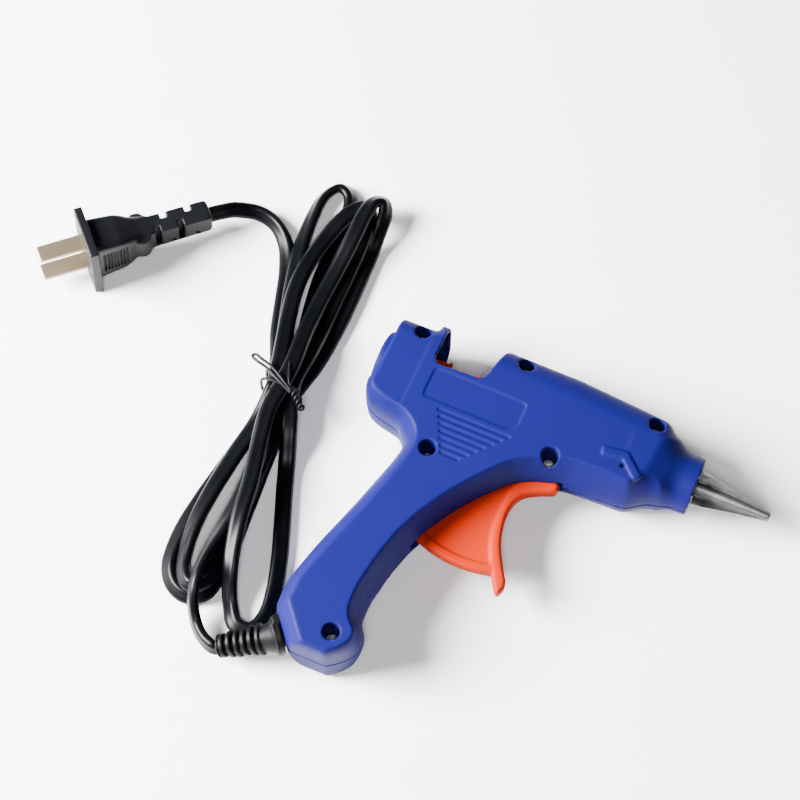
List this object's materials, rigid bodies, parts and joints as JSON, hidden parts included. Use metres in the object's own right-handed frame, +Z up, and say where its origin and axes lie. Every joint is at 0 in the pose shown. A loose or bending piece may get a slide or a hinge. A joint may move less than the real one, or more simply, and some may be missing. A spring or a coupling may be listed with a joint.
{
  "type": "glue gun",
  "caption": "Mini hot-melt glue gun for 7 mm sticks: pistol body in two shells, trigger-fed stick carriage, heated nozzle, mains lead in a tied hank with a two-blade plug.",
  "frame": {"origin": "on the resting side face of the casing, below the barrel axis at the middle of the body", "axes": "+X the way the nozzle points, +Y the gun's top, +Z up from the side it lies on"},
  "size_m": [0.271, 0.1814, 0.028],
  "materials": {
    "casing_blue": "fine satin moulded texture",
    "orange": "smooth moulded, slightly glossy",
    "nozzle_aluminium": "turned, tarnished by heat",
    "chamber_aluminium": "as cast",
    "brass": "rolled brass sheet",
    "ceramic": "matt fired ceramic",
    "insulation": "amber polyimide sheet",
    "spring_steel": "bright spring steel",
    "silicone": "milky silicone",
    "steel": "turned steel",
    "screw_steel": "zinc plated",
    "cord_black": "glossy extruded vinyl",
    "clamp_plastic": "moulded",
    "crimp_metal": "tinned copper",
    "wire_brown": "vinyl",
    "wire_blue": "vinyl",
    "relief_black": "moulded vinyl",
    "tie_black": "coated wire",
    "plug_black": "moulded vinyl with a fine texture",
    "blade_nickel": "nickel plated, brushed"
  },
  "bodies": {
    "housing": {"upper_shell": "casing_blue", "lower_shell": "casing_blue", "case_screw_1": "screw_steel", "case_screw_2": "screw_steel", "case_screw_3": "screw_steel", "case_screw_4": "screw_steel", "case_screw_5": "screw_steel", "case_screw_6": "screw_steel", "nozzle": "nozzle_aluminium", "heating_chamber": "chamber_aluminium", "electrode_plate_upper": "brass", "ptc_heater_element": "ceramic", "electrode_plate_lower": "brass", "heater_insulation": "insulation", "heater_clip": "spring_steel", "inlet_sleeve": "silicone", "trigger_pivot_pin": "steel", "return_spring": "spring_steel", "inner_cord": "cord_black", "cord_clamp": "clamp_plastic", "clamp_screw_1": "steel", "clamp_screw_2": "steel", "crimp_sleeve_1": "crimp_metal", "crimp_sleeve_2": "crimp_metal", "live_wire": "wire_brown", "neutral_wire": "wire_blue", "strain_relief": "relief_black", "cord_hank": "cord_black", "cord_tie": "tie_black", "gun_lead": "cord_black", "plug_lead": "cord_black", "plug_body": "plug_black", "plug_blade_1": "blade_nickel", "plug_blade_2": "blade_nickel"},
    "trigger": {"trigger": "orange"},
    "carriage": {"feeder_carriage": "orange", "grip_lever_pin": "steel"},
    "lever": {"grip_lever": "spring_steel"}
  },
  "joints": [
    {"name": "trigger_pull", "type": "hinge", "parent": "housing", "child": "trigger", "pos_m": [-0.017, -0.016, 0.014], "axis": [0, 0, -1], "range_deg": [0, 16], "stiffness_Nm_per_rad": 0.4, "springref_deg": -5.73},
    {"name": "carriage_feed", "type": "slide", "parent": "housing", "child": "carriage", "axis": [1, 0, 0], "range_m": [0, 0.0046], "deforming": ["return_spring"]},
    {"name": "lever_grip", "type": "hinge", "parent": "carriage", "child": "lever", "pos_m": [-0.047, -0.006, 0.014], "axis": [0, 0, 1], "range_deg": [0, 8.5]}
  ],
  "couplings": [
    {"joint": "carriage_feed", "follows": "trigger_pull", "m_per_rad": 0.0159},
    {"joint": "lever_grip", "follows": "trigger_pull", "ratio": 0.5}
  ]
}
